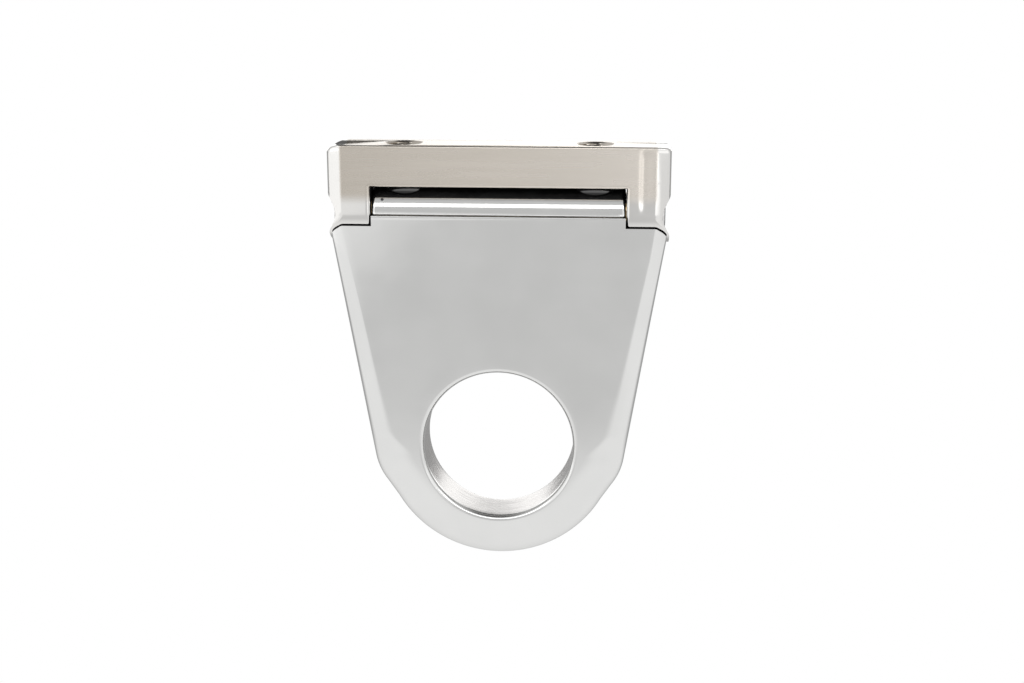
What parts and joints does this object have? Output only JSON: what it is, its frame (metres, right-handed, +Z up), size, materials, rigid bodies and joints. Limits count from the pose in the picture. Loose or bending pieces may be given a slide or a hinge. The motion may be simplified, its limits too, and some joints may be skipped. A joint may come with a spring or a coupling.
{
  "type": "hoist ring",
  "caption": "Pivoting hoist ring: a thick eye plate on a hinge pin swings between the two ears of a flat-topped block with tapped mounting holes.",
  "frame": {"origin": "centre of the block's top mounting face", "axes": "+Z up out of the mounting face, X along the hinge pin, front towards -Y, eye plate hanging down"},
  "size_m": [0.089, 0.015, 0.112],
  "materials": {
    "block_steel": "stainless steel, faces brushed along the block, slot edges and round ear ends polished",
    "plate_steel": "stainless steel, mirror polished",
    "pin_steel": "ground stainless steel",
    "liner_steel": "hardened stainless steel, turned",
    "bush_bronze": "bearing bronze, reamed",
    "washer_bronze": "bearing bronze, lapped",
    "seal_rubber": "matt nitrile rubber",
    "cup_steel": "turned stainless steel",
    "screw_steel": "A4 stainless steel, turned head with hexagon socket",
    "dowel_steel": "hardened steel, ground"
  },
  "bodies": {
    "yoke": {"yoke_block": "block_steel", "hinge_pin": "pin_steel", "ear_bush_left": "liner_steel", "ear_bush_right": "liner_steel", "cup_washer_left": "cup_steel", "cup_washer_right": "cup_steel", "end_screw_left": "screw_steel", "end_screw_right": "screw_steel"},
    "ring": {"ring_plate": "plate_steel", "knuckle_bush_left": "bush_bronze", "knuckle_bush_right": "bush_bronze", "thrust_washer_left": "washer_bronze", "thrust_washer_right": "washer_bronze", "grease_seal_left": "seal_rubber", "grease_seal_right": "seal_rubber", "bush_lock_pin": "dowel_steel"}
  },
  "joints": [
    {"name": "ring_swing", "type": "hinge", "parent": "yoke", "child": "ring", "pos_m": [0, 0, -0.0179], "axis": [1, 0, 0], "range_deg": [-35, 35]}
  ]
}
